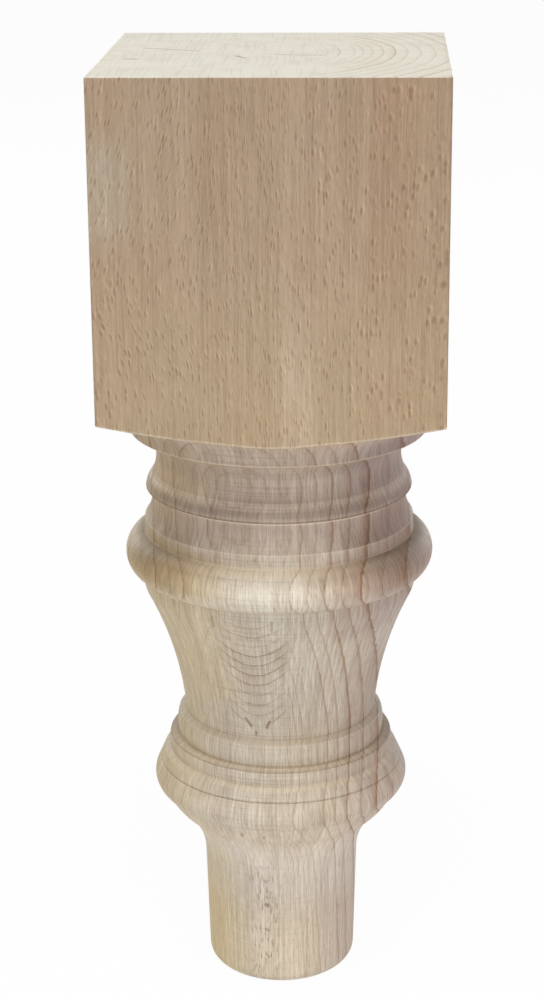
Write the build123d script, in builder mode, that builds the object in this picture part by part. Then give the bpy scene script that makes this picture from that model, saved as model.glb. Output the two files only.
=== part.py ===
from build123d import *
import os

# Short turned leg for a piece of furniture, in one piece of solid wood.
# A square mounting block stands on a lathe-turned baluster and a plain round foot.
# Millimetres. The origin is the centre of the foot's underside, +Z runs up the turning axis,
# and X and Y are square to the block's faces.

# Square block
block_width = 80.0
block_face_height = 82.85
arris_ease = 0.5
top_edge_ease = 0.4

# Shoulder that the lathe cuts where the square meets the round
shoulder_slope = 15.0
shoulder_cove_reach = 6.0
shoulder_cove_height = 6.8
rim_radius = 36.4

# Neck below the rim, then a lip
soffit_depth = 1.4
soffit_drop = 0.55
neck_radius = 30.1
neck_upper_height = 6.15
neck_lower_height = 4.85
lip_top_radius = 31.2
lip_radius = 32.8
lip_height = 3.4
lip_fullness = 0.08
quirk_depth = 1.3
quirk_height = 0.5

# Second neck, its square fillet and the large half-round ring
second_neck_height = 7.35
second_neck_hollow = 0.11
fillet_radius = 33.2
fillet_height = 3.35
large_ring_radius = 38.1
large_ring_height = 10.95

# Vase
vase_top_radius = 33.9
vase_shoulder_height = 4.9
vase_shoulder_radius = 33.0
vase_body_height = 31.8
vase_waist_radius = 23.95
vase_hollow = 0.047

# Three steps below the vase
upper_step_radius = 25.7
upper_step_height = 5.35
lower_step_radius = 28.0
lower_step_height = 3.5
step_fullness = 0.08
tread_drop = 1.15
tread_drop_middle = 0.7

# Small half-round ring with a scribed line, and its hollowed underside
small_ring_edge_radius = 29.7
small_ring_slope_height = 4.6
small_ring_slope_radius = 31.75
small_ring_radius = 32.1
small_ring_height = 5.8
small_ring_widest_share = 0.64
small_ring_lower_radius = 29.5
scribe_share = 0.5
scribe_radius = 0.25
underside_height = 6.0
underside_radius = 24.95
underside_fullness = 0.065
cove_height = 12.3

# Foot
foot_top_radius = 19.55
foot_radius = 18.8
foot_length = 31.0
foot_edge_round = 3.8

# Levels, stacked from the floor up
z_foot_top = foot_length
z_underside = z_foot_top + cove_height
z_small_ring_low = z_underside + underside_height
z_small_ring_slope = z_small_ring_low + small_ring_height
z_small_ring_edge = z_small_ring_slope + small_ring_slope_height
z_lower_step_foot = z_small_ring_edge + tread_drop
z_lower_step_edge = z_lower_step_foot + lower_step_height
z_upper_step_foot = z_lower_step_edge + tread_drop_middle
z_upper_step_edge = z_upper_step_foot + upper_step_height
z_vase_waist = z_upper_step_edge + tread_drop
z_vase_shoulder = z_vase_waist + vase_body_height
z_vase_top = z_vase_shoulder + vase_shoulder_height
z_fillet_foot = z_vase_top + large_ring_height
z_fillet_edge = z_fillet_foot + fillet_height
z_quirk = z_fillet_edge + second_neck_height
z_lip_edge = z_quirk + quirk_height
z_lip_top = z_lip_edge + lip_height
z_neck = z_lip_top + neck_lower_height
z_soffit = z_neck + neck_upper_height
z_rim = z_soffit + soffit_drop
z_shoulder = z_rim + shoulder_cove_height
total_height = z_shoulder + block_face_height


def swell(start, end, fullness):
    """Outward arc between two points of the outline, going up, by its rise as a share of its length."""
    return SagittaArc(start, end, -fullness * (Vector(*end) - Vector(*start)).length)


def hollow(start, end, depth):
    """Inward arc between two points of the outline, going up, by its depth as a share of its length."""
    return SagittaArc(start, end, depth * (Vector(*end) - Vector(*start)).length)


with BuildPart() as turned_leg:
    # Turned outline, from the foot's centre up one side to the shoulder and out past the square
    with BuildSketch(Plane.XZ) as half_section:
        with BuildLine() as outline:
            # Foot
            Line((0, 0), (foot_radius - foot_edge_round, 0))
            RadiusArc((foot_radius - foot_edge_round, 0), (foot_radius, foot_edge_round), -foot_edge_round)
            foot_side = Line((foot_radius, foot_edge_round), (foot_top_radius, z_foot_top))

            # Cove under the small ring, tangent to the foot, and the ring's underside
            cove = TangentArc(foot_side @ 1, (underside_radius, z_underside), tangent=foot_side % 1)
            underside = swell(cove @ 1, (small_ring_lower_radius, z_small_ring_low), underside_fullness)

            # Small ring, round below its widest point and sloped above it
            small_ring = ThreePointArc(
                underside @ 1,
                (small_ring_radius, z_small_ring_low + small_ring_height * small_ring_widest_share),
                (small_ring_slope_radius, z_small_ring_slope),
            )
            ring_slope = Line(small_ring @ 1, (small_ring_edge_radius, z_small_ring_edge))

            # Steps
            Line(ring_slope @ 1, (lower_step_radius, z_lower_step_foot))
            lower_step = swell(
                (lower_step_radius, z_lower_step_foot), (lower_step_radius, z_lower_step_edge), step_fullness
            )
            Line(lower_step @ 1, (upper_step_radius, z_upper_step_foot))
            upper_step = swell(
                (upper_step_radius, z_upper_step_foot), (upper_step_radius, z_upper_step_edge), step_fullness
            )
            Line(upper_step @ 1, (vase_waist_radius, z_vase_waist))

            # Vase
            vase_body = hollow(
                (vase_waist_radius, z_vase_waist), (vase_shoulder_radius, z_vase_shoulder), vase_hollow
            )
            TangentArc(vase_body @ 1, (vase_top_radius, z_vase_top), tangent=vase_body % 1)

            # Large ring and the square fillet over it
            ThreePointArc(
                (vase_top_radius, z_vase_top),
                (large_ring_radius, (z_vase_top + z_fillet_foot) / 2),
                (fillet_radius, z_fillet_foot),
            )
            Line((fillet_radius, z_fillet_foot), (fillet_radius, z_fillet_edge))

            # Second neck up to the quirk under the lip
            second_neck = hollow(
                (fillet_radius, z_fillet_edge), (lip_radius - quirk_depth, z_quirk), second_neck_hollow
            )
            Line(second_neck @ 1, (lip_radius, z_lip_edge))

            # Lip
            lip = swell((lip_radius, z_lip_edge), (lip_top_radius, z_lip_top), lip_fullness)

            # Neck, narrowest part way up, then out under the rim
            soffit = (rim_radius - soffit_depth, z_soffit)
            TangentArc((neck_radius, z_neck), lip @ 1, tangent=(0, -1))
            TangentArc((neck_radius, z_neck), soffit, tangent=(0, 1))
            Line(soffit, (rim_radius, z_rim))

            # Shoulder: a cove up from the rim, then a cone that rises past the block's corners
            cone_start = (rim_radius + shoulder_cove_reach, z_shoulder)
            cone = PolarLine(cone_start, block_width, angle=shoulder_slope)
            TangentArc(cone_start, (rim_radius, z_rim), tangent=(cone % 0) * -1)

            # Up the outside of the blank, and back down the axis
            Polyline(cone @ 1, (block_width * 2, total_height), (0, total_height), (0, 0))
        make_face()
    revolve(axis=Axis.Z)

    # Line scribed round the small ring
    with BuildSketch(Plane.XZ) as scribe:
        with Locations(ring_slope @ scribe_share):
            Circle(scribe_radius)
    revolve(axis=Axis.Z, mode=Mode.SUBTRACT)

    # The square blank that the turning is cut from
    with BuildSketch() as blank:
        RectangleRounded(block_width, block_width, arris_ease)
    extrude(amount=total_height, mode=Mode.INTERSECT)
    chamfer(turned_leg.faces().sort_by(Axis.Z)[-1].edges(), top_edge_ease)

turned_leg.part.label = "turned_leg"

os.makedirs("parts", exist_ok=True)
export_step(turned_leg.part, "parts/turned_leg.step")
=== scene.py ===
import bpy
import math
import random
from types import SimpleNamespace
from mathutils import Matrix, Vector


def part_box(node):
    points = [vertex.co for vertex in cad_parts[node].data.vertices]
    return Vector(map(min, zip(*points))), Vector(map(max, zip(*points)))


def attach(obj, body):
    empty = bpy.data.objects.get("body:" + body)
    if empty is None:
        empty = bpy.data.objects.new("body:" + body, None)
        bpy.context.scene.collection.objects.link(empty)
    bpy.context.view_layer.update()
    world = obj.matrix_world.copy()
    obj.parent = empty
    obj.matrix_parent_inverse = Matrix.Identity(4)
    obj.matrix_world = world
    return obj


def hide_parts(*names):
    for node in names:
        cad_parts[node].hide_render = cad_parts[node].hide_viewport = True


# Looks of a short turned furniture leg in bare beech: one mesh, one solid-wood material.
# Lengths are in millimetres, up to the point where the mesh is handed to Blender in metres.
# The origin is the centre of the foot's underside and +Z runs up the turning axis.

MM = 0.001

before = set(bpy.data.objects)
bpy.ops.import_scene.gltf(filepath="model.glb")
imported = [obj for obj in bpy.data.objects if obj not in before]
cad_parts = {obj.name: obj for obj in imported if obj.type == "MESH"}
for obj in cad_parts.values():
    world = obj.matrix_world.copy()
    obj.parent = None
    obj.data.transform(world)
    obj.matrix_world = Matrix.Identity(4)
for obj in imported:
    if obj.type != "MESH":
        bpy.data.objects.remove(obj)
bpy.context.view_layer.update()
node_low, node_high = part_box("turned_leg")

# Square block, its size taken from the frame
BLOCK_HALF = node_high.x / MM
TOTAL_HEIGHT = node_high.z / MM
BLOCK_FACE_HEIGHT = 82.85
ARRIS_EASE = 0.5
TOP_EDGE_EASE = 0.4
LOWER_EDGE_EASE = 0.14

# Shoulder under the block
SHOULDER_SLOPE = math.radians(15)
SHOULDER_COVE_REACH = 6.0
SHOULDER_COVE_HEIGHT = 6.8
RIM_RADIUS = 36.4
Z_SHOULDER = TOTAL_HEIGHT - BLOCK_FACE_HEIGHT
Z_RIM = Z_SHOULDER - SHOULDER_COVE_HEIGHT

# Neck and lip
SOFFIT_DEPTH = 1.4
SOFFIT_DROP = 0.55
NECK_RADIUS = 30.1
NECK_UPPER_HEIGHT = 6.15
NECK_LOWER_HEIGHT = 4.85
LIP_TOP_RADIUS = 31.2
LIP_RADIUS = 32.8
LIP_HEIGHT = 3.4
LIP_FULLNESS = 0.08
QUIRK_DEPTH = 1.3
QUIRK_HEIGHT = 0.5
Z_SOFFIT = Z_RIM - SOFFIT_DROP
Z_NECK = Z_SOFFIT - NECK_UPPER_HEIGHT
Z_LIP_TOP = Z_NECK - NECK_LOWER_HEIGHT
Z_LIP_EDGE = Z_LIP_TOP - LIP_HEIGHT
Z_QUIRK = Z_LIP_EDGE - QUIRK_HEIGHT

# Second neck, square fillet and large ring
SECOND_NECK_HEIGHT = 7.35
SECOND_NECK_HOLLOW = 0.11
FILLET_RADIUS = 33.2
FILLET_HEIGHT = 3.35
LARGE_RING_RADIUS = 38.1
LARGE_RING_HEIGHT = 10.95
Z_FILLET_EDGE = Z_QUIRK - SECOND_NECK_HEIGHT
Z_FILLET_FOOT = Z_FILLET_EDGE - FILLET_HEIGHT

# Vase
VASE_TOP_RADIUS = 33.9
VASE_SHOULDER_HEIGHT = 4.9
VASE_SHOULDER_RADIUS = 33.0
VASE_BODY_HEIGHT = 31.8
VASE_WAIST_RADIUS = 23.95
VASE_HOLLOW = 0.047
Z_VASE_TOP = Z_FILLET_FOOT - LARGE_RING_HEIGHT
Z_VASE_SHOULDER = Z_VASE_TOP - VASE_SHOULDER_HEIGHT
Z_VASE_WAIST = Z_VASE_SHOULDER - VASE_BODY_HEIGHT

# Steps
UPPER_STEP_RADIUS = 25.7
UPPER_STEP_HEIGHT = 5.35
LOWER_STEP_RADIUS = 28.0
LOWER_STEP_HEIGHT = 3.5
STEP_FULLNESS = 0.08
TREAD_DROP = 1.15
TREAD_DROP_MIDDLE = 0.7
Z_UPPER_STEP_EDGE = Z_VASE_WAIST - TREAD_DROP
Z_UPPER_STEP_FOOT = Z_UPPER_STEP_EDGE - UPPER_STEP_HEIGHT
Z_LOWER_STEP_EDGE = Z_UPPER_STEP_FOOT - TREAD_DROP_MIDDLE
Z_LOWER_STEP_FOOT = Z_LOWER_STEP_EDGE - LOWER_STEP_HEIGHT

# Small ring, with the line scribed round it, and its underside
SMALL_RING_EDGE_RADIUS = 29.7
SMALL_RING_SLOPE_HEIGHT = 4.6
SMALL_RING_SLOPE_RADIUS = 31.75
SMALL_RING_RADIUS = 32.1
SMALL_RING_HEIGHT = 5.8
SMALL_RING_WIDEST_SHARE = 0.64
SMALL_RING_LOWER_RADIUS = 29.5
SCRIBE_RADIUS = 0.25
UNDERSIDE_HEIGHT = 6.0
UNDERSIDE_RADIUS = 24.95
UNDERSIDE_FULLNESS = 0.065
Z_SMALL_RING_EDGE = Z_LOWER_STEP_FOOT - TREAD_DROP
Z_SMALL_RING_SLOPE = Z_SMALL_RING_EDGE - SMALL_RING_SLOPE_HEIGHT
Z_SMALL_RING_LOW = Z_SMALL_RING_SLOPE - SMALL_RING_HEIGHT
Z_UNDERSIDE = Z_SMALL_RING_LOW - UNDERSIDE_HEIGHT

# Cove and foot
COVE_HEIGHT = 12.3
FOOT_TOP_RADIUS = 19.55
FOOT_RADIUS = 18.8
FOOT_EDGE_ROUND = 3.8
Z_FOOT_TOP = Z_UNDERSIDE - COVE_HEIGHT

# Mesh fineness, which keeps the leg under 200,000 triangles
COLUMNS = 240
ROW_STEP = 0.62
CURVE_STEP = 0.5
FOOT_EDGE_STEP = 0.4
FOOT_SIDE_STEP = 0.9
FOOT_UNDERSIDE_SHARES = (0.3, 0.7, 0.95)
UNDERSIDE_ROWS = 18
UNDERSIDE_CROWDING = 1.6
FACE_ROWS = 30
TOP_ROWS = 14
EDGE_SUPPORT = 0.45
CORNER_EASE = 0.12
CORNER_CLEARANCE = 1.5
NEARLY_STRAIGHT = math.radians(176)

# Marks of the cutter: greatest depth, and the seed of their random depths
CUTTER_MARK_DEPTH = 0.022
CUTTER_SEED = 11

# UV layout, as shares of the map: the sides in one strip, the plan views in a row above it
UV_MARGIN = 0.005
UV_SIDES_HEIGHT = 0.75
UV_PLANS_LEVEL = 0.77
UV_TOP_LEFT = 0.01
UV_TOP_SIZE = 0.22
UV_FOOT_LEFT = 0.3
UV_FOOT_SIZE = 0.11

# Camera, fitted to the block's corners and the outline
CAMERA_PLACE = (25.276, -532.032, 302.426)
CAMERA_LENS = 81.546
CAMERA_SENSOR = 36.0
CAMERA_PITCH = math.radians(18.3753)
CAMERA_YAW = math.radians(-2.9071)
CAMERA_ROLL = math.radians(-0.4316)


# Outline of the turning

def bow(start, end, rise, step=ROW_STEP):
    """Points of an arc from start to end. A positive rise bows it to the left of the way it goes."""
    (ax, ay), (bx, by) = start, end
    chord = math.hypot(bx - ax, by - ay)
    count = max(2, round(chord / step))
    if abs(rise) < 1e-6:
        return [(ax + (bx - ax) * i / count, ay + (by - ay) * i / count) for i in range(count + 1)]
    radius = (chord * chord / 4 + rise * rise) / (2 * rise)
    ux, uy = (bx - ax) / chord, (by - ay) / chord
    cx = (ax + bx) / 2 - uy * (rise - radius)
    cy = (ay + by) / 2 + ux * (rise - radius)
    first = math.atan2(ay - cy, ax - cx)
    turn = math.atan2(by - cy, bx - cx) - first
    turn = (turn + math.pi) % (2 * math.pi) - math.pi
    count = max(count, 3)
    angles = [first + turn * i / count for i in range(count + 1)]
    return [(cx + abs(radius) * math.cos(a), cy + abs(radius) * math.sin(a)) for a in angles]


def swell(start, end, fullness):
    """Arc that bows outward from the axis, for an outline that goes up."""
    return bow(start, end, -fullness * math.dist(start, end))


def hollow(start, end, depth, step=ROW_STEP):
    """Arc that bows inward to the axis, for an outline that goes up."""
    return bow(start, end, depth * math.dist(start, end), step)


def leaving(start, end, tangent, step=ROW_STEP):
    """Arc from start to end that leaves start along the tangent."""
    way = math.atan2(end[1] - start[1], end[0] - start[0])
    off = math.atan2(tangent[1], tangent[0]) - way
    off = (off + math.pi) % (2 * math.pi) - math.pi
    return bow(start, end, math.dist(start, end) / 2 * math.tan(off / 2), step)


def through(start, middle, end, step):
    """Arc through three points."""
    (ax, ay), (bx, by), (cx, cy) = start, middle, end
    d = 2 * (ax * (by - cy) + bx * (cy - ay) + cx * (ay - by))
    sa, sb, sc = ax * ax + ay * ay, bx * bx + by * by, cx * cx + cy * cy
    ux = (sa * (by - cy) + sb * (cy - ay) + sc * (ay - by)) / d
    uy = (sa * (cx - bx) + sb * (ax - cx) + sc * (bx - ax)) / d
    first = math.atan2(ay - uy, ax - ux)
    turn = math.atan2(cy - uy, cx - ux) - first
    turn = (turn + math.pi) % (2 * math.pi) - math.pi
    radius = math.hypot(ax - ux, ay - uy)
    count = max(4, round(abs(turn) * radius / step))
    angles = [first + turn * i / count for i in range(count + 1)]
    return [(ux + radius * math.cos(a), uy + radius * math.sin(a)) for a in angles]


def heading(points):
    """Direction in which a run of points ends."""
    (ax, ay), (bx, by) = points[-2], points[-1]
    return bx - ax, by - ay


def join(runs, ease):
    """One line from runs that meet end to end, with each meeting corner eased by a small curve."""
    line = [runs[0][0]]
    for run, following in zip(runs, runs[1:] + [None]):
        clear = ease * CORNER_CLEARANCE
        line.extend(p for p in run[1:-1] if math.dist(p, run[0]) > clear and math.dist(p, run[-1]) > clear)
        if following is None:
            line.append(run[-1])
            continue
        corner = Vector(run[-1])
        before = Vector(run[-2]) - corner
        after = Vector(following[1]) - corner
        if before.angle(after) > NEARLY_STRAIGHT:
            line.append(tuple(corner))
            continue
        near = corner + before.normalized() * ease
        far = corner + after.normalized() * ease
        for share in (0, 0.5, 1):
            bend = near * (1 - share) ** 2 + corner * 2 * share * (1 - share) + far * share ** 2
            line.append(tuple(bend))
    return line


def scribed(start, end, radius):
    """A straight run with a small round groove cut half way along it."""
    middle = ((start[0] + end[0]) / 2, (start[1] + end[1]) / 2)
    length = math.dist(start, end)
    ux, uy = (end[0] - start[0]) / length, (end[1] - start[1]) / length
    near = (middle[0] - ux * radius, middle[1] - uy * radius)
    far = (middle[0] + ux * radius, middle[1] + uy * radius)
    groove = bow(near, far, radius * 0.999, radius / 2)
    return bow(start, near, 0)[:-1] + groove + bow(far, end, 0)[1:]


def turned_outline():
    """The outline of the turning as (radius, height) points, from the foot's rounded edge up to the rim."""
    foot_edge = leaving((FOOT_RADIUS - FOOT_EDGE_ROUND, 0), (FOOT_RADIUS, FOOT_EDGE_ROUND), (1, 0),
                        FOOT_EDGE_STEP)
    foot_side = bow((FOOT_RADIUS, FOOT_EDGE_ROUND), (FOOT_TOP_RADIUS, Z_FOOT_TOP), 0, FOOT_SIDE_STEP)
    cove = leaving(foot_side[-1], (UNDERSIDE_RADIUS, Z_UNDERSIDE), heading(foot_side))
    underside = swell(cove[-1], (SMALL_RING_LOWER_RADIUS, Z_SMALL_RING_LOW), UNDERSIDE_FULLNESS)
    widest = (SMALL_RING_RADIUS, Z_SMALL_RING_LOW + SMALL_RING_HEIGHT * SMALL_RING_WIDEST_SHARE)
    small_ring = through(underside[-1], widest, (SMALL_RING_SLOPE_RADIUS, Z_SMALL_RING_SLOPE), CURVE_STEP)
    slope = scribed(small_ring[-1], (SMALL_RING_EDGE_RADIUS, Z_SMALL_RING_EDGE), SCRIBE_RADIUS)
    tread_low = bow(slope[-1], (LOWER_STEP_RADIUS, Z_LOWER_STEP_FOOT), 0)
    lower_step = swell(tread_low[-1], (LOWER_STEP_RADIUS, Z_LOWER_STEP_EDGE), STEP_FULLNESS)
    tread_middle = bow(lower_step[-1], (UPPER_STEP_RADIUS, Z_UPPER_STEP_FOOT), 0)
    upper_step = swell(tread_middle[-1], (UPPER_STEP_RADIUS, Z_UPPER_STEP_EDGE), STEP_FULLNESS)
    tread_high = bow(upper_step[-1], (VASE_WAIST_RADIUS, Z_VASE_WAIST), 0)
    vase_body = hollow(tread_high[-1], (VASE_SHOULDER_RADIUS, Z_VASE_SHOULDER), VASE_HOLLOW)
    vase_shoulder = leaving(vase_body[-1], (VASE_TOP_RADIUS, Z_VASE_TOP), heading(vase_body))
    ring_middle = (LARGE_RING_RADIUS, (Z_VASE_TOP + Z_FILLET_FOOT) / 2)
    large_ring = through(vase_shoulder[-1], ring_middle, (FILLET_RADIUS, Z_FILLET_FOOT), CURVE_STEP)
    fillet = bow(large_ring[-1], (FILLET_RADIUS, Z_FILLET_EDGE), 0)
    second_neck = hollow(fillet[-1], (LIP_RADIUS - QUIRK_DEPTH, Z_QUIRK), SECOND_NECK_HOLLOW, CURVE_STEP)
    quirk = bow(second_neck[-1], (LIP_RADIUS, Z_LIP_EDGE), 0)
    lip = swell(quirk[-1], (LIP_TOP_RADIUS, Z_LIP_TOP), LIP_FULLNESS)
    neck_low = leaving((NECK_RADIUS, Z_NECK), lip[-1], (0, -1))[::-1]
    neck_high = leaving((NECK_RADIUS, Z_NECK), (RIM_RADIUS - SOFFIT_DEPTH, Z_SOFFIT), (0, 1), CURVE_STEP)
    soffit = bow(neck_high[-1], (RIM_RADIUS, Z_RIM), 0)
    return join([foot_edge, foot_side, cove, underside, small_ring, slope, tread_low, lower_step,
                 tread_middle, upper_step, tread_high, vase_body, vase_shoulder, large_ring, fillet,
                 second_neck, quirk, lip, neck_low, neck_high, soffit], CORNER_EASE)


# Block round the turning

def azimuths():
    """Angles of the mesh's columns, evenly spread, with a few more at each corner of the square."""
    angles = [2 * math.pi * i / COLUMNS for i in range(COLUMNS)]
    ease_angle = math.pi / 4 - math.atan2(BLOCK_HALF - ARRIS_EASE, BLOCK_HALF)
    for quarter in range(4):
        corner = math.pi / 4 + quarter * math.pi / 2
        for share in (-1, -0.5, 0.5, 1):
            angles.append(corner + share * ease_angle)
    return sorted(angles)


def square_reach(angle):
    """Distance from the axis to the side of the eased square, in the direction of the angle."""
    fold = abs((angle + math.pi / 4) % (math.pi / 2) - math.pi / 4)
    flat = BLOCK_HALF / math.cos(fold)
    if flat * math.sin(fold) <= BLOCK_HALF - ARRIS_EASE:
        return flat
    corner = (BLOCK_HALF - ARRIS_EASE) * math.sqrt(2)
    off = math.pi / 4 - fold
    return corner * math.cos(off) + math.sqrt(ARRIS_EASE ** 2 - (corner * math.sin(off)) ** 2)


def shoulder_height(radius):
    """Height of the block's underside at a distance from the axis: a cove, then a cone."""
    cone_radius = RIM_RADIUS + SHOULDER_COVE_REACH
    if radius >= cone_radius:
        return Z_SHOULDER + (radius - cone_radius) * math.tan(SHOULDER_SLOPE)
    reach, rise = SHOULDER_COVE_REACH, SHOULDER_COVE_HEIGHT
    slant = rise * math.cos(SHOULDER_SLOPE) - reach * math.sin(SHOULDER_SLOPE)
    cove_radius = (reach ** 2 + rise ** 2) / (2 * slant)
    centre_r = cone_radius + cove_radius * math.sin(SHOULDER_SLOPE)
    centre_z = Z_SHOULDER - cove_radius * math.cos(SHOULDER_SLOPE)
    return centre_z + math.sqrt(max(0.0, cove_radius ** 2 - (radius - centre_r) ** 2))


def column_above_rim(angle):
    """Points up one column from the rim to the middle of the top: underside, face, top edge and top."""
    reach = square_reach(angle)
    points = []
    for i in range(1, UNDERSIDE_ROWS + 1):
        share = (i / UNDERSIDE_ROWS) ** UNDERSIDE_CROWDING
        radius = RIM_RADIUS + (reach - LOWER_EDGE_EASE - RIM_RADIUS) * share
        points.append((radius, shoulder_height(radius)))
    edge = shoulder_height(reach) + LOWER_EDGE_EASE
    face_top = TOTAL_HEIGHT - TOP_EDGE_EASE
    points.append((reach, edge))
    low, high = edge + EDGE_SUPPORT, face_top - EDGE_SUPPORT
    points.extend((reach, low + (high - low) * i / FACE_ROWS) for i in range(FACE_ROWS + 1))
    points.append((reach, face_top))
    points.append((reach - TOP_EDGE_EASE * 0.3, TOTAL_HEIGHT - TOP_EDGE_EASE * 0.3))
    points.append((reach - TOP_EDGE_EASE, TOTAL_HEIGHT))
    inner = reach - TOP_EDGE_EASE - EDGE_SUPPORT
    points.extend((inner * (1 - i / TOP_ROWS), TOTAL_HEIGHT) for i in range(TOP_ROWS))
    return points


def cutter_marks(count, seed):
    """Small random depths, one for each row of the turning, that run smoothly from row to row."""
    draw = random.Random(seed)
    raw = [draw.random() for _ in range(count + 2)]
    return [(raw[i] + 2 * raw[i + 1] + raw[i + 2]) / 4 for i in range(count)]


def add(name, data):
    """New object in the scene."""
    made = bpy.data.objects.new(name, data)
    bpy.context.collection.objects.link(made)
    return made


def build_leg():
    """One closed mesh of the whole leg, in columns round the axis, with its own UV map."""
    outline = turned_outline()
    angles = azimuths()
    marks = cutter_marks(len(outline), CUTTER_SEED)
    bottom = [(outline[0][0] * share, 0.0) for share in FOOT_UNDERSIDE_SHARES]
    columns = []
    for angle in angles:
        column = list(bottom)
        for (radius, height), mark in zip(outline, marks):
            depth = CUTTER_MARK_DEPTH * mark if height > 0 else 0.0
            column.append((radius - depth, height))
        column.extend(column_above_rim(angle))
        columns.append(column)
    rows = len(columns[0])
    verts = [(0.0, 0.0, 0.0)]
    for angle, column in zip(angles, columns):
        verts.extend((r * math.sin(angle) * MM, -r * math.cos(angle) * MM, z * MM) for r, z in column)
    verts.append((0.0, 0.0, TOTAL_HEIGHT * MM))
    top = len(verts) - 1

    faces = []
    for c in range(len(angles)):
        here = 1 + c * rows
        there = 1 + (c + 1) % len(angles) * rows
        faces.append((0, there, here))
        faces.extend((here + r, there + r, there + r + 1, here + r + 1) for r in range(rows - 1))
        faces.append((here + rows - 1, there + rows - 1, top))
    mesh = bpy.data.meshes.new("leg_turning")
    mesh.from_pydata(verts, [], faces)
    lay_uv(mesh, angles, columns, len(bottom), rows)
    mesh.shade_smooth()
    mesh.validate()
    mesh.update()
    return add("leg_turning", mesh)


def lay_uv(mesh, angles, columns, bottom_rows, rows):
    """UV map: the sides as one strip round the axis, the top and the foot's underside as plan views."""
    top_rows = TOP_ROWS + 1
    side_rows = range(bottom_rows, rows - top_rows + 1)
    lengths = [0.0]
    middle_column = columns[len(columns) // 16]
    for r in side_rows:
        lengths.append(lengths[-1] + math.dist(middle_column[r], middle_column[r - 1]))
    layer = mesh.uv_layers.new(name="OFBake")
    for face in mesh.polygons:
        corners = [mesh.loops[i].vertex_index for i in face.loop_indices]
        spots = [divmod(v - 1, rows) for v in corners]
        inner = min(row if v not in (0, len(mesh.vertices) - 1) else -1 for v, (_, row) in zip(corners, spots))
        is_bottom = 0 in corners or (inner >= 0 and inner < bottom_rows)
        is_top = len(mesh.vertices) - 1 in corners or inner >= rows - top_rows
        for loop, vertex, (column, row) in zip(face.loop_indices, corners, spots):
            x, y, _ = mesh.vertices[vertex].co / MM
            if is_top or is_bottom:
                reach = BLOCK_HALF if is_top else FOOT_RADIUS
                size = UV_TOP_SIZE if is_top else UV_FOOT_SIZE
                left = UV_TOP_LEFT if is_top else UV_FOOT_LEFT
                uv = (left + size * (x / reach + 1) / 2, UV_PLANS_LEVEL + size * (y / reach + 1) / 2)
            else:
                turn = angles[column] / (2 * math.pi)
                if column == 0 and any(c > len(angles) // 2 for c, _ in spots):
                    turn = 1.0
                share = lengths[max(0, row - bottom_rows + 1)] / lengths[-1]
                uv = (turn, UV_MARGIN + UV_SIDES_HEIGHT * min(1.0, share))
            layer.data[loop].uv = uv


# Shader building

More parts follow.
